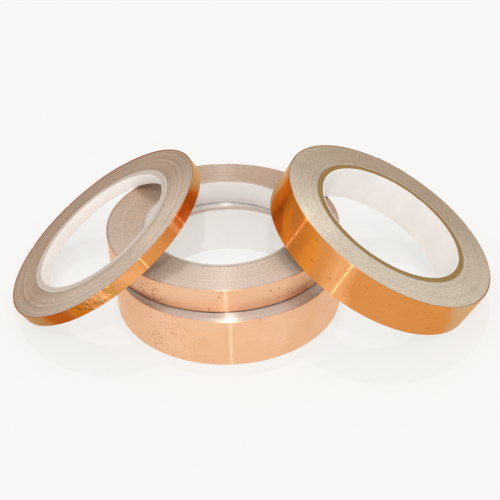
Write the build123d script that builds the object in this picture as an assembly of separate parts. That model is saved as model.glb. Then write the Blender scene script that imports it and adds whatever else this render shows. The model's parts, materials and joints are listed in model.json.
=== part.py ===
from build123d import *
import os
from math import cos, degrees, radians, sin, sqrt

# Copper foil tape for stained glass: four rolls in four tape widths, set out together.
# The wide roll lies flat, the upper roll lies on it, and the left and right rolls lean
# on the upper roll's top edge with their low edges on the table.
#
# Frame: millimetres, +Z up. The origin is where the wide roll's bore axis meets the
# table. +X runs towards the right roll and +Y runs to the back of the set.

# Winding, the same on all four rolls
bore_radius = 38.1          # fits a 3-inch spindle
core_wall = 3.3             # moulded ring or paperboard tube
upper_core_wall = 1.6       # the upper roll's ring is thinner
lining_wall = 0.4           # white paper inside the paperboard tube
starter_thickness = 0.3     # double-sided strip that holds the first turn
last_turn_thickness = 0.4   # bright outermost turn of foil

# Tape widths: 1, 1/2, 1/4 and 3/4 inch
wide_width = 25.4
upper_width = 12.7
left_width = 6.35
right_width = 19.05

# Outer radius of each wound roll
wide_radius = 57.5
upper_radius = 58.3
left_radius = 57.0
right_radius = 57.0

# How the rolls are set out
upper_shift_x = -2.2
upper_shift_y = 7.7
left_azimuth = 182.7        # direction in which the roll leans away from the stack
left_tilt = 32.9            # its axis from the vertical
right_azimuth = -7.5
right_tilt = 27.5
stack_gap = 0.1             # between the two flat rolls
lean_gap = 0.25             # between a leaning roll and the edge that carries it
table_gap = 0.05            # under a leaning roll's low edge

# Free end of each tape, on the side away from the front
tail_length = 18.0          # along the band
tail_foil = 0.3
tail_liner = 0.3
tail_gap = 0.3              # to the turn below
wide_tail_angle = 70.0      # hinge line, about the roll's own axis
upper_tail_angle = 96.0
left_tail_angle = -98.0
right_tail_angle = 80.0

stack_top = wide_width + stack_gap + upper_width


def tube(inner, outer, width):
    """Plain tube on the roll's axis, from the lower face up."""
    base = (Align.CENTER, Align.CENTER, Align.MIN)
    return Cylinder(outer, width, align=base) - Cylinder(inner, width, align=base)


def tube_arc(inner, outer, width, start, sweep):
    """Stretch of a tube wall that begins at the angle start, in degrees."""
    wedge = Cylinder(outer, width, arc_size=sweep, align=None)
    wedge -= Cylinder(inner, width, arc_size=sweep, align=None)
    return Rot(0, 0, start) * wedge


def leaning_frame(radius, tilt, azimuth):
    """Frame of a leaning roll: lower face's centre, X down the slope, Z along the axis.

    The low edge stands on the table. Higher up, the bore's lower edge rests on the
    upper roll's rim at two points, or the flat face does where the rim is narrower.
    """
    rise = sin(radians(tilt))
    run = cos(radians(tilt))
    centre_height = radius * rise + table_gap
    up_slope = (stack_top + lean_gap - centre_height) / rise
    half_chord = sqrt(max(0.0, bore_radius**2 - up_slope**2))
    rim_reach = sqrt((upper_radius + lean_gap) ** 2 - half_chord**2)
    reach = rim_reach + up_slope * run
    away_x = cos(radians(azimuth))
    away_y = sin(radians(azimuth))
    centre = (upper_shift_x + reach * away_x, upper_shift_y + reach * away_y, centre_height)
    down_slope = (run * away_x, run * away_y, -rise)
    axis = (rise * away_x, rise * away_y, run)
    return Plane(origin=centre, x_dir=down_slope, z_dir=axis)


def paperboard_core(name, width, wall):
    """Wound paperboard tube with a smooth white lining in its bore."""
    lining_radius = bore_radius + lining_wall
    return {
        f"{name}_core": tube(lining_radius, bore_radius + wall, width),
        f"{name}_core_lining": tube(bore_radius, lining_radius, width),
    }


def plastic_core(name, width, wall):
    """Moulded plastic ring."""
    return {f"{name}_core": tube(bore_radius, bore_radius + wall, width)}


def tail(name, radius, width, angle):
    """Free end of the tape: foil outside, its release paper inside, both curved."""
    liner_inner = radius + tail_gap
    liner_outer = liner_inner + tail_liner
    sweep = degrees(tail_length / radius)
    return {
        f"{name}_tail_liner": tube_arc(liner_inner, liner_outer, width, angle, sweep),
        f"{name}_tail_foil": tube_arc(liner_outer, liner_outer + tail_foil, width, angle, sweep),
    }


def roll(name, radius, width, wall, tail_angle, make_core):
    """One roll's pieces about its own axis, by node name."""
    core_radius = bore_radius + wall
    pack_radius = core_radius + starter_thickness
    foil_inner = radius - last_turn_thickness
    pieces = make_core(name, width, wall)
    pieces[f"{name}_starter_strip"] = tube(core_radius, pack_radius, width)
    pieces[f"{name}_wound_turns"] = tube(pack_radius, foil_inner, width)
    pieces[f"{name}_last_turn"] = tube(foil_inner, radius, width)
    pieces.update(tail(name, radius, width, tail_angle))
    return pieces


frames = {
    "wide": Plane.XY,
    "upper": Plane(origin=(upper_shift_x, upper_shift_y, wide_width + stack_gap)),
    "left": leaning_frame(left_radius, left_tilt, left_azimuth),
    "right": leaning_frame(right_radius, right_tilt, right_azimuth),
}

rolls = {
    "wide": roll("wide", wide_radius, wide_width, core_wall, wide_tail_angle, plastic_core),
    "upper": roll(
        "upper", upper_radius, upper_width, upper_core_wall, upper_tail_angle, plastic_core
    ),
    "left": roll("left", left_radius, left_width, core_wall, left_tail_angle, plastic_core),
    "right": roll(
        "right", right_radius, right_width, core_wall, right_tail_angle, paperboard_core
    ),
}

os.makedirs("parts", exist_ok=True)
for name, pieces in rolls.items():
    for node, shape in pieces.items():
        export_step(frames[name].location * shape, f"parts/{node}.step")
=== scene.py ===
import json
import math

import bpy
from bpy.props import FloatProperty, FloatVectorProperty, IntProperty, PointerProperty
from mathutils import Matrix, Vector, noise


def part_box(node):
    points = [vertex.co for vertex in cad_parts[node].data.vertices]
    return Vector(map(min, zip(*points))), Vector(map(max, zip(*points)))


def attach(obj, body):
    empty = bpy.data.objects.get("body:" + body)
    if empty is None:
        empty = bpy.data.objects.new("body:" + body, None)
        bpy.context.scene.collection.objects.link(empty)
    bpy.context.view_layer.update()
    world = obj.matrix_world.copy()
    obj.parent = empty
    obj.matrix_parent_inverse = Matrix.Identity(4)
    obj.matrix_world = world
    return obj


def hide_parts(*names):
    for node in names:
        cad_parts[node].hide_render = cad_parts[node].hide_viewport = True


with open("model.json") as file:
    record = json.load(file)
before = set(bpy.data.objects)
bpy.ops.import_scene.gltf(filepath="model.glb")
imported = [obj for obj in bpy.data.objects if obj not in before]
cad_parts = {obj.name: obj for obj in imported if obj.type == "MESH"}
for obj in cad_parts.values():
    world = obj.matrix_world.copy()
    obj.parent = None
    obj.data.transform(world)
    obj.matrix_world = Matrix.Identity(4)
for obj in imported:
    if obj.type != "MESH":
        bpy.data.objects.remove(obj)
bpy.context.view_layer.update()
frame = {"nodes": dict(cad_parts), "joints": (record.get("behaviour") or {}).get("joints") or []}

bl_info = {
    "name": "Copper Foil Tape Rolls",
    "version": (1, 0, 0),
    "blender": (4, 5, 0),
    "location": "View3D > Sidebar > Foil Tape",
    "description": "Four rolls of adhesive copper foil tape, stacked and leaning",
    "category": "Object",
}

MM = 0.001
FLAT_ROLLS = ("wide", "upper")
ROLL_NAMES = (*FLAT_ROLLS, "left", "right")
WRAP = "wrap"  # UV map: once round the roll, and along the outline
PLACE = "roll_place"  # a point's place in its own roll's frame, in metres
SEAM = math.pi / 2  # where a swept ring starts, at the back of a flat roll
THIN_EDGE = math.radians(40)  # edges sharper than this stay crisp on foil and paper
CORE_EDGE = math.radians(50)  # and on the cores
CORE_STEPS = 192  # facets round a moulded core
BOARD_STEPS = 240  # facets round the paperboard tube
TAIL_FACETS = 28  # facets along a tail


# -------- the rolls' frames

class Roll:
    """One roll's frame and sizes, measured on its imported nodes.

    Z is the roll's axis, X points down the slope of a leaning roll, and the origin is
    midway between the two faces.
    """

    def __init__(self, name):
        self.name = name
        self.body = f"{name}_roll"
        self.tail_body = f"{name}_tail"
        self.axis = self.find_axis()
        low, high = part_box(f"{name}_last_turn")
        outward = Vector((self.axis.x, self.axis.y, 0))
        if outward.length < 1e-6:
            outward = Vector((1, 0, 0))
        x_axis = (outward - outward.dot(self.axis) * self.axis).normalized()
        y_axis = self.axis.cross(x_axis)
        turn = Matrix((x_axis, y_axis, self.axis)).transposed()
        self.matrix = Matrix.Translation((low + high) / 2) @ turn.to_4x4()
        self.band_in, self.radius, self.half = self.ring_size("last_turn")
        self.pack_in, self.pack_out, _ = self.ring_size("wound_turns")
        self.core_in, self.core_out, _ = self.ring_size("core")

    def find_axis(self):
        """The roll lifts off square to its faces, so its slide joint runs along the axis."""
        for joint in frame["joints"]:
            if joint["child"] == self.body:
                return Vector(joint["axis"]).normalized()
        return Vector((0, 0, 1))

    def local_points(self, piece):
        """The vertices of one of the roll's nodes, in the roll's frame."""
        back = self.matrix.inverted()
        return [back @ v.co for v in frame["nodes"][f"{self.name}_{piece}"].data.vertices]

    def ring_size(self, piece):
        """Inner radius, outer radius and half width of a ring-shaped node."""
        points = self.local_points(piece)
        radii = [math.hypot(p.x, p.y) for p in points]
        return min(radii), max(radii), max(abs(p.z) for p in points)

    def arc(self, piece):
        """Start and end angle of a node that covers a short stretch of the band."""
        points = self.local_points(piece)
        middle = sum((Vector((p.x, p.y)) for p in points), Vector((0, 0)))
        about = math.atan2(middle.y, middle.x)
        offsets = []
        for p in points:
            offset = math.atan2(p.y, p.x) - about
            offsets.append((offset + math.pi) % math.tau - math.pi)
        return about + min(offsets), about + max(offsets)


# -------- user settings

class FoilSettings(bpy.types.PropertyGroup):
    """Colours and winding of the foil."""

    flat_tint: FloatVectorProperty(
        name="Flat Rolls' Foil", description="Colour of the foil on the two stacked rolls",
        subtype="COLOR", size=3, min=0, max=1, default=(0.99, 0.588, 0.36))
    leaning_tint: FloatVectorProperty(
        name="Leaning Rolls' Foil", description="Colour of the foil on the two leaning rolls",
        subtype="COLOR", size=3, min=0, max=1, default=(0.78, 0.25, 0.038))
    turn_pitch: FloatProperty(
        name="Turn Pitch", description="Thickness of one turn of foil and release paper",
        subtype="DISTANCE", unit="LENGTH", min=0.1 * MM, max=1 * MM, default=0.21 * MM)
    edge_slant: FloatProperty(
        name="Edge Slant", description="How much lower a turn's cut edge is on its outer side",
        subtype="DISTANCE", unit="LENGTH", min=0, max=0.2 * MM, default=0.075 * MM)
    edge_wander: FloatProperty(
        name="Edge Wander", description="How far the turns' edges stand in or out of the face",
        subtype="DISTANCE", unit="LENGTH", min=0, max=0.5 * MM, default=0.05 * MM)
    crease: FloatProperty(
        name="Crease", description="Depth of the dents and creases in the last turn",
        subtype="DISTANCE", unit="LENGTH", min=0, max=0.3 * MM, default=0.05 * MM)
    steps: IntProperty(
        name="Steps Round", description="Flat facets that make up one turn",
        min=48, max=512, default=144)


class CoreSettings(bpy.types.PropertyGroup):
    """Colours and edges of the cores."""

    plastic_tint: FloatVectorProperty(
        name="Plastic", description="Colour of the moulded cores",
        subtype="COLOR", size=3, min=0, max=1, default=(1.0, 0.98, 0.96))
    # The rim colour is a painted shade: the rims' faces are painted greyer than the rest of the
    # core.
    painted_rim_shade: FloatVectorProperty(
        name="Rim", description="Colour of the moulded cores' matt rims",
        subtype="COLOR", size=3, min=0, max=1, default=(0.58, 0.485, 0.41))
    board_tint: FloatVectorProperty(
        name="Paperboard", description="Colour of the paperboard tube's cut edge",
        subtype="COLOR", size=3, min=0, max=1, default=(0.34, 0.205, 0.05))
    edge_round: FloatProperty(
        name="Edge Rounding", description="Radius on the moulded cores' edges",
        subtype="DISTANCE", unit="LENGTH", min=0.05 * MM, max=1 * MM, default=0.35 * MM)


class StageSettings(bpy.types.PropertyGroup):
    """Camera, lights and floor."""

    aim: FloatVectorProperty(
        name="Aim", description="Point that the camera looks at",
        subtype="TRANSLATION", unit="LENGTH", size=3, default=(0.0111, 0.0006, 0.0246))
    distance: FloatProperty(
        name="Distance", description="Camera to aim point",
        subtype="DISTANCE", unit="LENGTH", min=0.1, max=5, default=0.43)
    elevation: FloatProperty(
        name="Elevation", description="Camera's height as an angle above the table",
        subtype="ANGLE", unit="ROTATION", min=0, max=math.radians(89),
        default=math.radians(34.66))
    roll: FloatProperty(
        name="Roll", description="Camera's turn about its line of sight",
        subtype="ANGLE", unit="ROTATION", min=-1, max=1, default=math.radians(-1.05))
    lens: FloatProperty(
        name="Lens", description="Focal length on a 36 mm wide sensor, in millimetres",
        min=10, max=400, default=61.3)
    floor_tint: FloatVectorProperty(
        name="Floor", description="Colour of the table top",
        subtype="COLOR", size=3, min=0, max=1, default=(0.95, 0.95, 0.935))
    floor_glow: FloatProperty(
        name="Table Glow", description="Light that comes up through the table top",
        subtype="FACTOR", min=0, max=2, default=0.722)
    lamp_strength: FloatProperty(
        name="Lamps", description="Strength of each of the two lamps",
        subtype="FACTOR", min=0, max=10, default=0.42)
    lamp_width: FloatProperty(
        name="Lamp Width", description="Width of each lamp, seen from the table",
        subtype="ANGLE", unit="ROTATION", min=0, max=1, default=math.radians(1.8))
    sky_strength: FloatProperty(
        name="Surround", description="Brightness of the white surround at the front",
        subtype="FACTOR", min=0, max=5, default=1.0)
    sky_back: FloatProperty(
        name="Surround Behind", description="Brightness of the white surround at the back",
        subtype="FACTOR", min=0, max=5, default=0.5)


# -------- node trees

class NodeTree:
    """A node tree and short calls that add nodes to it."""

    def __init__(self, tree):
        self.tree = tree

    def node(self, kind, inputs=None, **settings):
        """A new node. An input takes a value or another node's output."""
        made = self.tree.nodes.new(kind)
        for key, value in settings.items():
            setattr(made, key, value)
        for key, value in (inputs or {}).items():
            self.feed(made.inputs[key], value)
        return made

    def feed(self, socket, value):
        if isinstance(value, bpy.types.NodeSocket):
            self.tree.links.new(value, socket)
        else:
            socket.default_value = value

    def math(self, operation, first, second=0.0, third=0.0):
        inputs = {0: first, 1: second, 2: third}
        return self.node("ShaderNodeMath", inputs, operation=operation).outputs["Value"]

    def times(self, first, second):
        return self.math("MULTIPLY", first, second)

    def vector_math(self, operation, first, second=(0, 0, 0), result="Vector"):
        inputs = {0: first, 1: second}
        return self.node("ShaderNodeVectorMath", inputs, operation=operation).outputs[result]

    def vector(self, x, y, z):
        made = self.node("ShaderNodeCombineXYZ", {"X": x, "Y": y, "Z": z})
        return made.outputs["Vector"]


class Shader(NodeTree):
    """A new material and short calls that add nodes to it."""

    def __init__(self, name):
        self.material = bpy.data.materials.new(name)
        self.material.use_nodes = True
        super().__init__(self.material.node_tree)
        self.surface = self.tree.nodes["Principled BSDF"]

    def set(self, **values):
        """Sockets of the surface by name, with underscores for spaces."""
        for key, value in values.items():
            self.feed(self.surface.inputs[key.replace("_", " ")], value)

    def place(self, scale=(1, 1, 1)):
        """The point's place in its own roll's frame, times scale."""
        source = self.node("ShaderNodeAttribute", attribute_name=PLACE)
        inputs = {"Vector": source.outputs["Vector"], "Scale": scale}
        return self.node("ShaderNodeMapping", inputs).outputs["Vector"]

    def height(self):
        """Height above the roll's middle plane, in metres."""
        return self.node("ShaderNodeSeparateXYZ", {"Vector": self.place()}).outputs["Z"]

    def radius(self):
        """Distance from the roll's axis, in metres."""
        return self.vector_math("LENGTH", self.place((1, 1, 0)), result="Value")

    def stretched(self, vector, across):
        """A pattern's place for marks that run round the roll, across times as long."""
        made = self.node("ShaderNodeMapping", {"Vector": vector, "Scale": (1, 1, across)})
        return made.outputs["Vector"]

    def noise(self, vector, scale, detail=3.0, rough=0.55, distortion=0.0):
        return self.node("ShaderNodeTexNoise", {
            "Vector": vector, "Scale": scale, "Detail": detail, "Roughness": rough,
            "Distortion": distortion}).outputs["Fac"]

    def ring_noise(self, rings, seed, detail, rough):
        """Noise that draws rings about the axis, this many to a metre of radius."""
        across = self.times(self.radius(), rings)
        return self.noise(self.vector(across, seed, 0.0), 1.0, detail, rough)

    def remap(self, value, low, high, to_low=0.0, to_high=1.0):
        return self.node("ShaderNodeMapRange", {
            "Value": value, "From Min": low, "From Max": high, "To Min": to_low,
            "To Max": to_high}).outputs["Result"]

    def mix(self, amount, first, second, blend="MIX"):
        made = self.node("ShaderNodeMix", data_type="RGBA", blend_type=blend)
        for socket, value in ((0, amount), (6, first), (7, second)):
            if isinstance(value, tuple) and len(value) == 3:
                value = (*value, 1.0)
            self.feed(made.inputs[socket], value)
        return made.outputs[2]

    def bump(self, height, strength, distance, normal=None):
        inputs = {"Height": height, "Strength": strength, "Distance": distance}
        if normal is not None:
            inputs["Normal"] = normal
        return self.node("ShaderNodeBump", inputs).outputs["Normal"]

    def angle(self):
        """Angle round the roll, in degrees from -180 to 180, from its local X."""
        split = self.node("ShaderNodeSeparateXYZ", {"Vector": self.place()})
        turn = self.math("ARCTAN2", split.outputs["Y"], split.outputs["X"])
        return self.math("DEGREES", turn)

    def zones(self, angle, zones):
        """1 inside the given stretches of the roll, 0 outside: (centre, half width) each."""
        total = None
        for centre, half in zones:
            away = self.math("WRAP", self.math("SUBTRACT", angle, centre), 180.0, -180.0)
            away = self.math("ABSOLUTE", away)
            inside = self.remap(away, half * 0.55, half * 1.25, 1.0, 0.0)
            total = inside if total is None else self.math("MAXIMUM", total, inside)
        return total

    def rolling_sheen(self, share, tint, roughness, stretch, normal):
        """Narrow second gloss that spreads across the rolling marks round the roll."""
        tangent = self.node(
            "ShaderNodeTangent", direction_type="UV_MAP", uv_map=WRAP).outputs["Tangent"]
        self.set(Tangent=tangent, Anisotropic_Rotation=0.25)
        gloss = self.node("ShaderNodeBsdfAnisotropic", {
            "Color": tint, "Roughness": roughness, "Anisotropy": stretch,
            "Tangent": tangent, "Normal": normal})
        mixed = self.node("ShaderNodeMixShader", {
            0: share, 1: self.surface.outputs["BSDF"], 2: gloss.outputs["BSDF"]})
        self.feed(self.tree.nodes["Material Output"].inputs["Surface"], mixed.outputs["Shader"])


def shade(color, factor):
    """A colour made darker or lighter."""
    return tuple(min(1.0, channel * factor) for channel in color)


# -------- materials

# Colours painted on stretches of the copper as painted reflections, and of what lies on it or under
# it
DARK_REFLECTION_AND_DASH = (0.72, 0.125, 0.002)  # painted dark reflection on the copper; a darker shade of it colours the dashes
BRIGHT_REFLECTION = (1.0, 0.3, 0.002)  # painted bright orange reflection beside it
TAN_REFLECTION = (0.66, 0.37, 0.21)  # painted tan reflection
PALE_REFLECTION = (0.92, 0.37, 0.13)  # painted pale reflection
PIT = (0.52, 0.17, 0.05)
FOOT = (0.11, 0.03, 0.01)  # line of shadow along a low edge
LEADER_PAPER = (0.92, 0.87, 0.83)  # bare release paper under the first foil
LEAN = 400.0  # of a coloured stretch's ends, in degrees to a metre of width


def pit_mask(shader, place, angle, height, foil):
    """1 in a pit and 0 elsewhere. The pits keep to clusters."""
    grain = shader.node("ShaderNodeTexNoise", {"Vector": place, "Scale": 900})
    wobble = shader.vector_math("MULTIPLY", grain.outputs["Color"], (0.0008, 0.0008, 0.0008))
    drops = shader.vector_math("ADD", place, wobble)
    cells = shader.node("ShaderNodeTexVoronoi", {"Vector": drops, "Scale": 850})
    chance = shader.node("ShaderNodeSeparateColor", {"Color": cells.outputs["Color"]})
    clusters = shader.remap(shader.noise(place, 60, 2), 0.42, 0.62)
    if foil["pitted"]:
        clusters = shader.times(clusters, shader.math(
            "MULTIPLY_ADD", shader.zones(angle, foil["pitted"]), 1.3, 0.25))
    if foil["edge_pits"]:
        top = foil["edge_pits"]
        rim = shader.remap(height, top - 1.4 * MM, top - 0.7 * MM)
        clusters = shader.math("MAXIMUM", clusters, shader.times(rim, 0.95))
    reach = shader.times(clusters, foil["specks"])
    reach = shader.times(reach, shader.math("POWER", chance.outputs["Red"], 1.6))
    return shader.remap(shader.math("SUBTRACT", reach, cells.outputs["Distance"]), 0.0, 0.12)


def copper_foil(name, tint, foil):
    """Rolled copper foil: rolling marks round the roll, dark pits, soft patches, and stretches
    painted darker, brighter or paler as painted reflections.
    """
    shader = Shader(name)
    seed = foil["seed"]
    offset = (seed * 0.37, seed * 0.11, seed * 0.23)
    place = shader.vector_math("ADD", shader.place(), offset)
    marks = shader.noise(shader.stretched(place, 14), 130, 5, 0.65)
    patches = shader.noise(place, 38, 3, 0.5, 0.6)
    angle, height = shader.angle(), shader.height()

    hue = shader.remap(patches, 0.38, 0.66)
    warm = (tint[0] * 0.96, tint[1] * 0.86, tint[2] * 0.72)
    color = shader.mix(shader.times(hue, foil["patchy"]), tint, warm)
    streak = shader.remap(marks, 0.35, 0.7, 1.0, 0.93)
    color = shader.mix(1.0, color, shader.node(
        "ShaderNodeCombineColor", {0: streak, 1: streak, 2: streak}).outputs["Color"], "MULTIPLY")
    sheen = (*foil["sheen_tint"], 1.0)
    slant = shader.math("ADD", angle, shader.times(height, LEAN))
    slant = shader.math("ADD", slant, shader.remap(patches, 0.3, 0.7, -5.0, 5.0))
    # Painted reflections: stretches painted darker, brighter or paler in place of what the copper
    # reflects there. The second gloss also takes part of their colour.
    for centre, half, painted_reflection in foil["painted_reflection"]:
        stretch = shader.zones(slant, ((centre, half),))
        color = shader.mix(stretch, color, painted_reflection)
        if painted_reflection[2] < 0.01:
            hold = 0.8 if painted_reflection[1] < 0.2 else 0.4
            sheen = shader.mix(shader.times(stretch, hold), sheen, painted_reflection)

    scratch = shader.noise(shader.stretched(place, 5), 210, 3, 0.7)
    scratch = shader.remap(scratch, 0.62, 0.7, 0.0, foil["dashes"])
    color = shader.mix(scratch, color, shade(DARK_REFLECTION_AND_DASH, 0.6))
    pits = pit_mask(shader, place, angle, height, foil)
    color = shader.mix(shader.times(pits, 0.75), color, PIT)
    # Painted shadow: a dark line along the band's low edge, where it sits on the roll below.
    if foil["dark_foot"]:
        low_edge = -foil["dark_foot"]
        foot = shader.remap(height, low_edge + 0.4 * MM, low_edge + 0.8 * MM, 1.0, 0.0)
        color = shader.mix(foot, color, FOOT)

    groove = shader.bump(marks, 0.06, 0.6 * MM)
    dents = shader.noise(place, 90, 2, 0.5)
    groove = shader.bump(dents, foil["dents"], MM, groove)
    sheen_normal = shader.bump(dents, foil["dents"] * 0.3, MM)
    if foil["crinkled"]:
        facets = shader.node(
            "ShaderNodeTexVoronoi", {"Vector": place, "Scale": 300}, feature="F2")
        crinkle = shader.times(facets.outputs["Distance"], shader.zones(angle, foil["crinkled"]))
        groove = shader.bump(crinkle, 1.0, 2.5 * MM, groove)
        sheen_normal = shader.bump(crinkle, 1.0, 2.5 * MM, sheen_normal)
    shader.set(
        Base_Color=color, Metallic=1.0, Normal=groove, Anisotropic=0.75,
        Specular_Tint=(*foil["edge_tint"], 1.0),
        Roughness=shader.remap(marks, 0.3, 0.75, 0.26, 0.36),
    )
    shader.rolling_sheen(foil["sheen"], sheen, 0.19, 0.93, sheen_normal)
    return shader.material


def wound_edges(name, winding, inner):
    """Cut edges of the turns: grey-beige paper lines with fine bright foil between, and the near
    side of the face painted paler, a painted light.
    """
    shader = Shader(name)
    paper, copper, seed = winding["paper"], winding["edge_copper"], winding["seed"]
    place = shader.place()
    fine = shader.ring_noise(5200, seed, 2, 0.7)
    broad = shader.ring_noise(winding["line_scale"], seed + 3.1, 3, 0.6)
    blotch = shader.noise(place, 60, 4, 0.55, 0.4)
    color = shader.mix(shader.remap(broad, 0.38, 0.62), shade(paper, winding["lines"]), paper)
    color = shader.mix(shader.remap(fine, 0.52, 0.72), color, copper)
    color = shader.mix(shader.remap(blotch, 0.42, 0.72, 0.0, 0.5), color, shade(copper, 0.92))
    # Painted light: stretches of the face painted paler, in place of the light that the near side
    # catches.
    if winding["painted_pale_side"]:
        painted_pale_side = shader.zones(shader.angle(), winding["painted_pale_side"])
        ridges = shader.remap(broad, 0.36, 0.62, winding["lines"] - 0.15, 1.0)
        painted_pale_side = shader.times(painted_pale_side, ridges)
        color = shader.mix(painted_pale_side, color, winding["painted_pale_tint"])
    speck = shader.noise(place, 1150, 3, 0.8)
    grain = winding["grain"]
    color = shader.mix(shader.remap(speck, 0.53, 0.7, 0.0, grain), color, (0.32, 0.2, 0.12))
    color = shader.mix(shader.remap(speck, 0.47, 0.32, 0.0, grain), color, (0.95, 0.86, 0.78))
    if winding["leader"]:
        leader = inner + winding["leader"] * MM
        bare = shader.remap(shader.radius(), leader - 0.1 * MM, leader + 0.1 * MM, 1.0, 0.0)
        color = shader.mix(bare, color, LEADER_PAPER)
    normal = shader.bump(fine, 0.25, 0.1 * MM)
    shader.set(
        Base_Color=color, Normal=normal, Anisotropic=0.7,
        Metallic=shader.remap(fine, 0.45, 0.7, 0.05, 0.55),
        Roughness=shader.remap(blotch, 0.3, 0.7, 0.36, 0.5),
    )
    if winding["edge_sheen"]:
        grained = shader.bump(speck, 0.2, 0.2 * MM, normal)
        tint = (1.0, 0.94, 0.88, 1.0)
        shader.rolling_sheen(winding["edge_sheen"], tint, 0.34, 0.85, grained)
    return shader.material


def moulded_plastic(name, tint, painted_rim_shade, inner, half):
    """Milky moulded plastic with a faint orange peel. Its rim face is painted greyer, a painted
    shade, and its ridge tops a little lighter, a painted highlight.
    """
    shader = Shader(name)
    place = shader.place()
    cloud = shader.noise(place, 45, 3)
    color = shader.mix(shader.remap(cloud, 0.35, 0.7), tint, shade(tint, 0.95))
    height = shader.math("ABSOLUTE", shader.height())
    beyond_bore = shader.remap(shader.radius(), inner + 0.1 * MM, inner + 0.25 * MM)
    # Painted shade and highlight: the rim face is painted greyer, and the ridge tops a little
    # lighter.
    for start, end, painted_rim_color in ((0.65, 0.5, painted_rim_shade), (0.3, 0.05, shade(painted_rim_shade, 1.15))):
        rim = shader.remap(height, half - start * MM, half - end * MM)
        color = shader.mix(shader.times(rim, beyond_bore), color, painted_rim_color)
    scuff = shader.noise(shader.stretched(place, 9), 240, 4, 0.6)
    color = shader.mix(shader.remap(scuff, 0.6, 0.8, 0.0, 0.25), color, shade(tint, 0.82))
    shader.set(
        Base_Color=color, Subsurface_Weight=0.08,
        Subsurface_Radius=(4 * MM, 3.5 * MM, 3 * MM),
        Subsurface_Scale=1.0, IOR=1.49,
        Roughness=shader.remap(scuff, 0.3, 0.8, 0.3, 0.48),
        Normal=shader.bump(shader.noise(place, 900, 2), 0.05, 0.2 * MM),
    )
    return shader.material


def paperboard(name, tint):
    """Wound board seen on its cut edge: plies, glue lines and fibre."""
    shader = Shader(name)
    place = shader.place()
    ply = shader.ring_noise(2100, 0.4, 2, 0.6)
    fibre = shader.noise(place, 1500, 4, 0.7)
    color = shader.mix(shader.remap(ply, 0.4, 0.65), shade(tint, 0.72), shade(tint, 1.35))
    color = shader.mix(shader.remap(fibre, 0.35, 0.75, 0.0, 0.6), color, shade(tint, 0.6))
    shader.set(
        Base_Color=color, Roughness=shader.remap(fibre, 0.3, 0.7, 0.75, 0.95),
        Normal=shader.bump(fibre, 0.35, 0.3 * MM, shader.bump(ply, 0.4, 0.3 * MM)),
    )
    return shader.material


def smooth_paper(name, tint, gloss):
    """Release paper or bore lining: smooth, with faint fibre."""
    shader = Shader(name)
    place = shader.place()
    fibre = shader.noise(place, 1200, 4, 0.65)
    mottle = shader.noise(place, 70, 3)
    color = shader.mix(shader.remap(mottle, 0.35, 0.7), tint, shade(tint, 0.94))
    shader.set(
        Base_Color=color, Roughness=shader.remap(fibre, 0.3, 0.7, gloss, gloss + 0.15),
        Normal=shader.bump(fibre, 0.12, 0.2 * MM),
    )
    return shader.material


def adhesive_strip(name):
    """Thin double-sided strip between core and first turn."""
    shader = Shader(name)
    coordinates = shader.node("ShaderNodeTexCoord").outputs["Object"]
    grain = shader.noise(coordinates, 700, 3)
    color = shader.mix(grain, (0.62, 0.55, 0.45), (0.44, 0.37, 0.29))
    shader.set(Base_Color=color, Roughness=shader.remap(grain, 0.3, 0.7, 0.5, 0.7))
    return shader.material


def table_top(name, tint, glow):
    """Pale acrylic table top, lit from below."""
    shader = Shader(name)
    shader.set(
        Base_Color=(*shade(tint, 0.25), 1.0), Roughness=0.9, Specular_IOR_Level=0.1,
        Emission_Color=(*tint, 1.0), Emission_Strength=glow,
    )
    return shader.material


# -------- mesh helpers

def add_object(name, data):
    """A new object in the scene."""
    made = bpy.data.objects.new(name, data)
    bpy.context.scene.collection.objects.link(made)
    return made


def finish_piece(mesh, roll, node, material=None, sharp=None):
    """Paints a mesh, puts it in the roll's place, binds it to its body and hides its node.

    Each vertex keeps its place in the roll's own frame as an attribute.
    """
    if material:
        mesh.materials.append(material)
    if sharp:
        mesh.shade_smooth()
        mesh.set_sharp_from_angle(angle=sharp)
    attribute = mesh.attributes.new(PLACE, "FLOAT_VECTOR", "POINT")
    attribute.data.foreach_set("vector", [c for v in mesh.vertices for c in v.co])
    mesh.transform(roll.matrix)
    piece = add_object(mesh.name, mesh)
    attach(piece, roll.tail_body if node.startswith("tail") else roll.body)
    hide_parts(f"{roll.name}_{node}")


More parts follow.
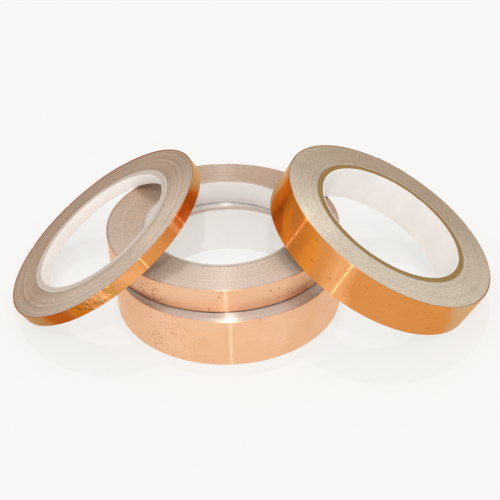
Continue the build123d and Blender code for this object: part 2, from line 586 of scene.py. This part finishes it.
def swept_mesh(name, outline, steps, start=SEAM, sweep=math.tau, shift=None):
    """Turns a closed outline of (radius, height) points about the axis.

    The outline runs anticlockwise, seen with the radius to the right and the height up.
    shift(angle, radius, height) returns the moved radius and height. A full turn closes on
    itself, and a shorter one gets end faces.
    """
    closed = sweep >= math.tau - 1e-9
    stations = steps if closed else steps + 1
    count = len(outline)
    lengths = [0.0]
    for i in range(count):
        a, b = outline[i], outline[(i + 1) % count]
        lengths.append(lengths[-1] + math.dist(a, b))
    vertices = []
    for s in range(stations):
        angle = start + sweep * s / steps
        for radius, height in outline:
            if shift:
                radius, height = shift(angle, radius, height)
            vertices.append((radius * math.cos(angle), radius * math.sin(angle), height))
    faces, wraps = [], []
    for s in range(steps):
        ahead = (s + 1) % stations
        for i in range(count):
            j = (i + 1) % count
            faces.append((s * count + i, ahead * count + i, ahead * count + j, s * count + j))
            u0, u1 = s / steps, (s + 1) / steps
            v0, v1 = lengths[i] / lengths[-1], lengths[i + 1] / lengths[-1]
            wraps.extend([(u0, v0), (u1, v0), (u1, v1), (u0, v1)])
    if not closed:
        faces.append(tuple(range(count)))
        wraps.extend([(0.0, 0.0)] * count)
        faces.append(tuple((stations - 1) * count + i for i in reversed(range(count))))
        wraps.extend([(1.0, 0.0)] * count)
    mesh = bpy.data.meshes.new(name)
    mesh.from_pydata(vertices, [], faces)
    layer = mesh.uv_layers.new(name=WRAP)
    layer.data.foreach_set("uv", [c for uv in wraps for c in uv])
    mesh.validate()
    return mesh


def rounded_outline(corners, arc_points=3):
    """Closed outline with its corners rounded. Each corner is (radius, height, rounding)."""
    points = []
    count = len(corners)
    for i, (x, y, rounding) in enumerate(corners):
        here = Vector((x, y))
        before = Vector(corners[i - 1][:2])
        after = Vector(corners[(i + 1) % count][:2])
        start = here + (before - here).normalized() * rounding
        end = here + (after - here).normalized() * rounding
        for k in range(arc_points + 1):
            t = k / arc_points
            points.append(tuple((1 - t) ** 2 * start + 2 * t * (1 - t) * here + t * t * end))
    return points


def split_edge(first, last, parts):
    """Points from first towards last, without last."""
    return [
        (first[0] + (last[0] - first[0]) * k / parts, first[1] + (last[1] - first[1]) * k / parts)
        for k in range(parts)
    ]


# -------- geometry nodes

class Geometry(NodeTree):
    """A geometry node tree with named inputs."""

    def __init__(self, name):
        super().__init__(bpy.data.node_groups.new(name, "GeometryNodeTree"))
        self.tree.is_modifier = True
        self.inputs = {}
        self.declare("Geometry", "NodeSocketGeometry")
        self.tree.interface.new_socket(
            name="Geometry", in_out="OUTPUT", socket_type="NodeSocketGeometry")

    def declare(self, name, kind, default=None):
        """Adds one named input."""
        socket = self.tree.interface.new_socket(name=name, in_out="INPUT", socket_type=kind)
        if default is not None:
            socket.default_value = default
        self.inputs[name] = socket.identifier

    def start(self):
        self.entry = self.tree.nodes.new("NodeGroupInput")
        self.exit = self.tree.nodes.new("NodeGroupOutput")

    def given(self, name):
        return self.entry.outputs[name]

    def finish(self, geometry, material):
        """Ends the tree: real geometry with its material."""
        realized = self.node("GeometryNodeRealizeInstances", {"Geometry": geometry})
        painted = self.node("GeometryNodeSetMaterial", {
            "Geometry": realized.outputs["Geometry"], "Material": material})
        self.feed(self.exit.inputs["Geometry"], painted.outputs["Geometry"])


def wound_tape_tree():
    """Tape wound in a spiral, turn upon turn, with edges that wander a little."""
    made = Geometry("wound_tape")
    for name, default in (
        ("Inner Radius", 40 * MM), ("Outer Radius", 57 * MM), ("Tape Width", 10 * MM),
        ("Turn Pitch", 0.21 * MM), ("Tape Share", 0.93), ("Edge Slant", 0.05 * MM),
        ("Edge Wander", 0.05 * MM), ("Slow Wander", 0.1 * MM), ("Seed", 1.0),
    ):
        made.declare(name, "NodeSocketFloat", default)
    made.declare("Steps", "NodeSocketInt", 128)
    made.declare("Material", "NodeSocketMaterial")
    made.start()

    pitch = made.given("Turn Pitch")
    half_tape = made.times(made.times(pitch, made.given("Tape Share")), 0.5)
    first = made.math("ADD", made.given("Inner Radius"), half_tape)
    last = made.math("SUBTRACT", made.given("Outer Radius"), half_tape)
    rotations = made.math("DIVIDE", made.math("SUBTRACT", last, first), pitch)
    spiral = made.node("GeometryNodeCurveSpiral", {
        "Resolution": made.given("Steps"), "Rotations": rotations,
        "Start Radius": first, "End Radius": last, "Height": 0.0})

    position = made.node("GeometryNodeInputPosition").outputs["Position"]
    radius = made.vector_math("LENGTH", position, result="Value")
    split = made.node("ShaderNodeSeparateXYZ", {"Vector": position})
    turn_number = made.math("DIVIDE", radius, pitch)
    steps = []
    for amount, scale, depth, change in (
        ("Edge Wander", 25.0, turn_number, 1.7), ("Slow Wander", 12.0, radius, 420.0),
    ):
        grain = made.node("ShaderNodeTexNoise", {"Scale": 1.0, "Detail": 1.0, "Vector": made.vector(
            made.times(split.outputs["X"], scale),
            made.times(split.outputs["Y"], scale),
            made.math("ADD", made.times(depth, change), made.given("Seed")))})
        centred = made.math("SUBTRACT", grain.outputs["Fac"], 0.5)
        both_ways = made.times(made.given(amount), 2.0)
        steps.append(made.times(centred, both_ways))
    moved = made.node("GeometryNodeSetPosition", {
        "Geometry": spiral.outputs["Curve"],
        "Offset": made.vector(0.0, 0.0, made.math("ADD", *steps))})
    upright = made.node(
        "GeometryNodeSetCurveNormal", {"Curve": moved.outputs["Geometry"]}, mode="Z_UP")
    profile = made.node("GeometryNodeCurvePrimitiveQuadrilateral", mode="POINTS")
    half_width = made.times(made.given("Tape Width"), 0.5)
    low_half = made.math("SUBTRACT", half_width, made.given("Edge Slant"))
    for number, (across, along) in enumerate((
        (1.0, low_half), (-1.0, half_width),
        (-1.0, made.times(half_width, -1.0)),
        (1.0, made.times(low_half, -1.0)),
    )):
        corner = made.vector(made.times(half_tape, across), along, 0.0)
        made.feed(profile.inputs[f"Point {number + 1}"], corner)
    tape = made.node("GeometryNodeCurveToMesh", {
        "Curve": upright.outputs["Curve"], "Profile Curve": profile.outputs["Curve"],
        "Fill Caps": True})
    made.finish(tape.outputs["Mesh"], made.given("Material"))
    return made


def evaluate_tree(made, name, values):
    """Runs a geometry tree on an empty mesh and returns the plain mesh that it makes."""
    seed_mesh = bpy.data.meshes.new(f"{name}_seed")
    holder = add_object(f"{name}_holder", seed_mesh)
    modifier = holder.modifiers.new("geometry", "NODES")
    modifier.node_group = made.tree
    for key, value in values.items():
        modifier[made.inputs[key]] = value
    bpy.context.view_layer.update()
    evaluated = holder.evaluated_get(bpy.context.evaluated_depsgraph_get())
    mesh = bpy.data.meshes.new_from_object(evaluated)
    mesh.name = name
    bpy.data.objects.remove(holder)
    bpy.data.meshes.remove(seed_mesh)
    return mesh


def add_wrap_map(mesh):
    """UV map round the roll, for a mesh made about the Z axis."""
    layer = mesh.uv_layers.new(name=WRAP)
    angles = [math.atan2(v.co.y, v.co.x) / math.tau for v in mesh.vertices]
    uv = []
    for face in mesh.polygons:
        first = angles[face.vertices[0]]
        for index in face.vertices:
            vertex = mesh.vertices[index].co
            uv.append(angles[index] - round(angles[index] - first))
            uv.append((math.hypot(vertex.x, vertex.y) + vertex.z) * 10)
    layer.data.foreach_set("uv", uv)


# -------- operators

# A clean flat roll's foil and winding. Stretches of the band and of the face are
# (centre, half width), in degrees from the roll's local X.
PLAIN = {
    "specks": 0.0,  # size of the pits
    "pitted": (),  # stretches that have most of them
    "edge_pits": 0,  # half width of a band with pits along its top edge
    "dark_foot": 0,  # half width of a band with a painted shadow line at its foot
    "patchy": 0.7,  # how far the copper's colour varies
    "painted_reflection": (),  # stretches painted as reflections, with the colour third
    "dashes": 0.0,  # strength of the short dark dashes
    "dents": 0.06,  # strength of the soft dents
    "crinkled": (),  # stretches that are crumpled
    "crease": 0.6,  # depth of the creases, beside the usual
    "sheen": 0.2,  # share of the second gloss on the band
    "sheen_tint": (1.0, 0.84, 0.68),
    "edge_tint": (1.0, 0.9, 0.8),  # the copper at a grazing angle
    "edge_sheen": 0,  # share of the second gloss on the face
    "leader": 0,  # bare release paper round the core, in mm
    "line_scale": 620,  # lines on the face, to a metre of radius
    "painted_pale_side": (),  # stretches of the face painted paler, a painted light
}
LEANING = {**PLAIN, "sheen_tint": (1.0, 0.68, 0.3), "edge_tint": (1.0, 0.75, 0.45)}

# Each roll's own: slow is how far its turns wander in mm, lines how dark the lines on its
# face are, and grain how coarse the face looks.
WINDING = {
    "wide": {
        **PLAIN, "seed": 3.0, "specks": 0.45, "slow": 0.26, "pitted": ((-125, 35),),
        "edge_pits": 12.7 * MM, "sheen": 0.1, "edge_sheen": 0.42, "leader": 4.4,
        "paper": (1.0, 0.76, 0.64), "edge_copper": (0.99, 0.66, 0.5),
        "lines": 0.5, "line_scale": 1100, "grain": 0.2,
    },
    "upper": {
        **PLAIN, "seed": 11.0, "specks": 0.6, "patchy": 0.6, "slow": 0.05,
        "pitted": ((-112, 26), (-55, 14)), "dark_foot": 6.35 * MM,
        "sheen": 0.12, "edge_sheen": 0.03,
        "paper": (0.62, 0.45, 0.33), "edge_copper": (0.66, 0.4, 0.26),
        "lines": 0.87, "grain": 0.45,
        "painted_pale_side": ((-95, 90),), "painted_pale_tint": (0.8, 0.66, 0.56),
    },
    "left": {
        **LEANING, "seed": 23.0, "patchy": 1.0, "slow": 0.34, "crease": 1.6,
        "painted_reflection": (
            (157, 10, DARK_REFLECTION_AND_DASH), (67, 12, (0.5, 0.09, 0.003)), (82, 5, (0.66, 0.18, 0.006)),
            (97, 4, PALE_REFLECTION), (103, 3, (0.62, 0.24, 0.03)), (112, 6, PALE_REFLECTION), (143, 2, PALE_REFLECTION),
            (45, 12, (0.37, 0.155, 0.07)), (-179, 14, TAN_REFLECTION)),
        "dashes": 0.4, "dents": 0.2, "crinkled": ((90, 9),),
        "paper": (0.62, 0.43, 0.3), "edge_copper": (0.54, 0.34, 0.21),
        "lines": 0.62, "grain": 0.28,
        "painted_pale_side": ((115, 75),), "painted_pale_tint": (0.7, 0.57, 0.46),
    },
    "right": {
        **LEANING, "seed": 37.0, "specks": 0.35, "slow": 0.06, "crease": 0.8,
        "painted_reflection": (
            (-165, 12, DARK_REFLECTION_AND_DASH), (-151, 5, BRIGHT_REFLECTION), (-137, 10, (0.9, 0.27, 0.008)),
            (-112, 7, PALE_REFLECTION), (-40, 10, (0.63, 0.4, 0.29)), (178, 8, TAN_REFLECTION)),
        "dashes": 0.8, "dents": 0.1,
        "paper": (0.54, 0.41, 0.28), "edge_copper": (0.5, 0.33, 0.2),
        "lines": 0.86, "grain": 0.5,
        "painted_pale_side": ((-95, 105),), "painted_pale_tint": (0.75, 0.66, 0.53),
    },
}


def foil_slot(roll):
    return "pale_copper_foil" if roll.name in FLAT_ROLLS else "copper_foil"


def foil_material(roll, settings):
    """The roll's copper, shared by its last turn and its tail."""
    name = f"{roll.name}_copper"
    found = bpy.data.materials.get(name)
    if found:
        return found
    tint = settings.flat_tint if roll.name in FLAT_ROLLS else settings.leaning_tint
    return copper_foil(name, tuple(tint), WINDING[roll.name])


class TAPE_OT_wound_turns(bpy.types.Operator):
    """Wind the turns of foil and release paper on every roll"""

    bl_idname = "foil_tape.wound_turns"
    bl_label = "Wound Turns"

    def execute(self, context):
        settings = context.scene.foil_tape
        tree = wound_tape_tree()
        for name in ROLL_NAMES:
            roll = Roll(name)
            winding = WINDING[name]
            material = wound_edges(f"{name}_turn_edges", winding, roll.pack_in)
            mesh = evaluate_tree(tree, f"{name}_turns", {
                "Inner Radius": roll.pack_in, "Outer Radius": roll.pack_out,
                "Tape Width": 2 * (roll.half - settings.edge_wander - 0.6 * winding["slow"] * MM),
                "Turn Pitch": settings.turn_pitch, "Edge Wander": settings.edge_wander,
                "Edge Slant": settings.edge_slant,
                "Slow Wander": winding["slow"] * MM, "Steps": settings.steps,
                "Seed": winding["seed"], "Material": material})
            add_wrap_map(mesh)
            finish_piece(mesh, roll, "wound_turns")
        return {"FINISHED"}


def strip_outline(inner, outer, half, soft, rows, inner_rows=1):
    """Outline of a strip of tape round the roll, with its outer edges burnished."""
    outline = split_edge((outer, -half + soft), (outer, half - soft), rows)
    outline += [(outer, half - soft), (outer - soft, half)]
    outline += split_edge((inner, half), (inner, -half), inner_rows)
    outline += [(inner, -half), (outer - soft, -half)]
    return outline


def creased(roll, depth, seed):
    """Small in-and-out moves of the last turn's outer skin, and an edge that wanders."""
    skin = roll.radius - 0.2 * MM

    def shift(angle, radius, height):
        if radius < skin:
            return radius, height
        x, y = math.cos(angle), math.sin(angle)
        broad = noise.noise(Vector((x * 3 + seed, y * 3, height * 60)))
        pinch = noise.noise(Vector((x * 14 + seed, y * 14, height * 220)))
        crisp = abs(noise.noise(Vector((x * 30, y * 30 + seed, height * 90))))
        move = 0.5 * broad + 0.3 * pinch - 0.25 * crisp
        edge = 0.15 * depth * (1 + noise.noise(Vector((x * 22, y * 22, seed))))
        return radius + depth * min(0.0, move - 0.2), height - math.copysign(edge, height)

    return shift


class TAPE_OT_last_turn(bpy.types.Operator):
    """Lay the bright last turn of foil round every roll"""

    bl_idname = "foil_tape.last_turn"
    bl_label = "Last Turn"

    def execute(self, context):
        settings = context.scene.foil_tape
        for name in ROLL_NAMES:
            roll = Roll(name)
            winding = WINDING[name]
            rows = max(6, round(2 * roll.half / MM))
            depth = settings.crease * winding["crease"]
            outline = strip_outline(roll.band_in, roll.radius, roll.half, 0.12 * MM, rows)
            mesh = swept_mesh(
                f"{name}_band", outline, 2 * settings.steps,
                shift=creased(roll, depth, winding["seed"]))
            material = foil_material(roll, settings)
            finish_piece(mesh, roll, "last_turn", material, THIN_EDGE)
        return {"FINISHED"}


# Inner and outer face of each layer of a tail, above the band
TAIL_LAYERS = {"tail_liner": (0.06 * MM, 0.18 * MM), "tail_foil": (0.18 * MM, 0.28 * MM)}
TAIL_LIFT = 0.3 * MM  # how much further its free end stands off
TAIL_MARGIN = 0.02 * MM  # by which it is narrower at each edge


def tail_shift(start, sweep, seed):
    """Lifts a tail off the band towards its free end, with a light curl."""

    def shift(angle, radius, height):
        t = (angle - start) / sweep
        wave = noise.noise(Vector((t * 4, height * 150, seed)))
        return radius + TAIL_LIFT * t * t * (1 + 0.25 * wave), height

    return shift


class TAPE_OT_tails(bpy.types.Operator):
    """Add each roll's free end, foil on release paper"""

    bl_idname = "foil_tape.tails"
    bl_label = "Tape Ends"

    def execute(self, context):
        settings = context.scene.foil_tape
        liner_material = smooth_paper("release_paper", (0.74, 0.71, 0.66), 0.45)
        for name in ROLL_NAMES:
            roll = Roll(name)
            seed = WINDING[name]["seed"]
            for piece, material, slot in (
                ("tail_liner", liner_material, "release_paper"),
                ("tail_foil", foil_material(roll, settings), foil_slot(roll)),
            ):
                _, _, half = roll.ring_size(piece)
                inner, outer = (roll.radius + layer for layer in TAIL_LAYERS[piece])
                start, end = roll.arc(piece)
                rows = max(4, round(half / MM))
                outline = strip_outline(
                    inner, outer, half - TAIL_MARGIN, 0.25 * (outer - inner), rows, rows)
                mesh = swept_mesh(
                    f"{name}_{piece}_end", outline, TAIL_FACETS, start, end - start,
                    tail_shift(start, end - start, seed))
                finish_piece(mesh, roll, piece, material, THIN_EDGE)
        return {"FINISHED"}


def plastic_outline(roll, rounding):
    """Moulded core: a raised ridge at each edge of the rim, with a shallow channel between."""
    inner, outer, half = roll.core_in, roll.core_out, roll.half
    wall = outer - inner
    ridge, slope, depth = 0.17 * wall, 0.08 * wall, 0.12 * wall
    edge = min(rounding, 0.4 * ridge)
    rim = [
        (outer, half, edge), (outer - ridge, half, edge),
        (outer - ridge - slope, half - depth, 0.4 * slope),
        (inner + ridge + slope, half - depth, 0.4 * slope),
        (inner + ridge, half, edge), (inner, half, edge),
    ]
    return rounded_outline(rim + [(x, -y, r) for x, y, r in reversed(rim)])


class TAPE_OT_plastic_cores(bpy.types.Operator):
    """Mould the plastic cores of the wide, upper and left rolls"""

    bl_idname = "foil_tape.plastic_cores"
    bl_label = "Plastic Cores"

    def execute(self, context):
        settings = context.scene.tape_cores
        for name in ("wide", "upper", "left"):
            roll = Roll(name)
            material = moulded_plastic(
                f"{name}_milky_plastic", tuple(settings.plastic_tint),
                tuple(settings.painted_rim_shade), roll.core_in, roll.half)
            outline = plastic_outline(roll, settings.edge_round)
            mesh = swept_mesh(f"{name}_moulded_core", outline, CORE_STEPS)
            finish_piece(mesh, roll, "core", material, CORE_EDGE)
        return {"FINISHED"}


def worn_edge(half, depth, seed):
    """Frays a board's or paper's cut edge a little."""

    def shift(angle, radius, height):
        if abs(height) < half - 1 * MM:
            return radius, height
        x, y = math.cos(angle), math.sin(angle)
        fray = noise.noise(Vector((x * 40 + seed, y * 40, radius * 900)))
        slow = noise.noise(Vector((x * 7 + seed, y * 7, radius * 300)))
        sink = depth * max(0.0, 0.6 + fray + slow)
        return radius, height - math.copysign(sink, height)

    return shift


class TAPE_OT_board_core(bpy.types.Operator):
    """Make the right roll's paperboard tube and its white lining"""

    bl_idname = "foil_tape.board_core"
    bl_label = "Paperboard Core"

    def execute(self, context):
        settings = context.scene.tape_cores
        roll = Roll("right")
        for piece, material, slot, plies, depth in (
            ("core", paperboard("board_edge", tuple(settings.board_tint)), "paperboard", 7, 0.12),
            ("core_lining", smooth_paper("lining_paper", (0.95, 0.935, 0.915), 0.5),
             "white_paper", 2, 0.1),
        ):
            inner, outer, half = roll.ring_size(piece)
            outline = split_edge((outer, -half), (outer, half), 4)
            outline += split_edge((outer, half), (inner, half), plies)
            outline += split_edge((inner, half), (inner, -half), 4)
            outline += split_edge((inner, -half), (outer, -half), plies)
            mesh = swept_mesh(
                f"right_{piece}_tube", outline, BOARD_STEPS,
                shift=worn_edge(half, depth * MM, plies))
            finish_piece(mesh, roll, piece, material, CORE_EDGE)
        return {"FINISHED"}


class TAPE_OT_starter_strips(bpy.types.Operator):
    """Finish the adhesive strips round the cores"""

    bl_idname = "foil_tape.starter_strips"
    bl_label = "Starter Strips"

    def execute(self, context):
        material = adhesive_strip("starter_adhesive")
        for name in ROLL_NAMES:
            mesh = frame["nodes"][f"{name}_starter_strip"].data
            mesh.materials.clear()
            mesh.materials.append(material)
        return {"FINISHED"}


def sight_axes(elevation, roll):
    """The camera's right, up and forward directions, looking along +Y and down."""
    forward = Vector((0, math.cos(elevation), -math.sin(elevation)))
    right = Vector((1, 0, 0))
    up = right.cross(forward)
    turned_right = right * math.cos(roll) + up * math.sin(roll)
    turned_up = up * math.cos(roll) - right * math.sin(roll)
    return turned_right, turned_up, forward


TABLE_REACH = 30.0

# Directions towards the lamps
LAMPS = {
    "front_lamp": (0.016, -0.615, 0.788),
    "overhead_lamp": (-0.028, 0.291, 0.956),
}


def far_lamp(name, direction, strength, width):
    """Far soft lamp, so that the light is even over the whole table."""
    light = bpy.data.lights.new(name, "SUN")
    light.energy = strength
    light.angle = width
    lamp = add_object(name, light)
    towards = Vector(direction).normalized()
    lamp.location = towards
    lamp.rotation_euler = towards.to_track_quat("Z", "Y").to_euler()


def studio_world(front, back):
    """White surround, brighter towards the front and top than at the back."""
    world = bpy.data.worlds.new("studio")
    world.use_nodes = True
    made = NodeTree(world.node_tree)
    direction = made.node("ShaderNodeTexCoord").outputs["Generated"]
    facing = made.vector_math("DOT_PRODUCT", direction, (0.0, -0.85, 0.53), "Value")
    fade = made.node("ShaderNodeMapRange", {
        "Value": facing, "From Min": -0.5, "From Max": 0.9, "To Min": back, "To Max": front,
    }, interpolation_type="SMOOTHSTEP")
    background = made.tree.nodes["Background"]
    background.inputs["Color"].default_value = (1.0, 1.0, 0.995, 1.0)
    made.feed(background.inputs["Strength"], fade.outputs["Result"])
    return world


class TAPE_OT_stage(bpy.types.Operator):
    """Set the camera, the soft studio light and the pale table top"""

    bl_idname = "foil_tape.stage"
    bl_label = "Stage"

    def execute(self, context):
        scene = context.scene
        settings = scene.tape_stage
        right, up, forward = sight_axes(settings.elevation, settings.roll)
        camera = add_object("camera", bpy.data.cameras.new("camera"))
        turn = Matrix((right, up, -forward)).transposed().to_4x4()
        eye = Vector(settings.aim) - forward * settings.distance
        camera.matrix_world = Matrix.Translation(eye) @ turn
        camera.data.lens = settings.lens
        camera.data.clip_start = 0.01
        scene.camera = camera

        scene.world = studio_world(settings.sky_strength, settings.sky_back)
        scene.view_settings.view_transform = "Standard"

        for name, direction in LAMPS.items():
            far_lamp(name, direction, settings.lamp_strength, settings.lamp_width)

        mesh = bpy.data.meshes.new("table_top")
        corners = [(x * TABLE_REACH, y * TABLE_REACH, 0) for x, y in (
            (-1, -1), (1, -1), (1, 1), (-1, 1))]
        mesh.from_pydata(corners, [], [(0, 1, 2, 3)])
        mesh.materials.append(
            table_top("pale_table", tuple(settings.floor_tint), settings.floor_glow))
        table = add_object("table_top", mesh)
        return {"FINISHED"}


class TAPE_PT_panel(bpy.types.Panel):
    """Buttons that rebuild the rolls"""

    bl_idname = "TAPE_PT_panel"
    bl_label = "Foil Tape Rolls"
    bl_space_type = "VIEW_3D"
    bl_region_type = "UI"
    bl_category = "Foil Tape"

    def draw(self, context):
        for group in SETTINGS:
            settings = getattr(context.scene, group)
            box = self.layout.box()
            for key in settings.__annotations__:
                box.prop(settings, key)
        for operator in OPERATORS:
            self.layout.operator(operator.bl_idname)


SETTINGS = {"foil_tape": FoilSettings, "tape_cores": CoreSettings, "tape_stage": StageSettings}
OPERATORS = (
    TAPE_OT_stage, TAPE_OT_wound_turns, TAPE_OT_last_turn, TAPE_OT_tails,
    TAPE_OT_plastic_cores, TAPE_OT_board_core, TAPE_OT_starter_strips,
)


def register():
    for settings in SETTINGS.values():
        bpy.utils.register_class(settings)
    for operator in OPERATORS:
        bpy.utils.register_class(operator)
    bpy.utils.register_class(TAPE_PT_panel)
    for name, settings in SETTINGS.items():
        setattr(bpy.types.Scene, name, PointerProperty(type=settings))


def unregister():
    for name in SETTINGS:
        delattr(bpy.types.Scene, name)
    bpy.utils.unregister_class(TAPE_PT_panel)
    for operator in OPERATORS:
        bpy.utils.unregister_class(operator)
    for settings in SETTINGS.values():
        bpy.utils.unregister_class(settings)


def main():
    register()
    for operator in OPERATORS:
        group, action = operator.bl_idname.split(".")
        getattr(getattr(bpy.ops, group), action)()


if __name__ == "__main__":
    main()
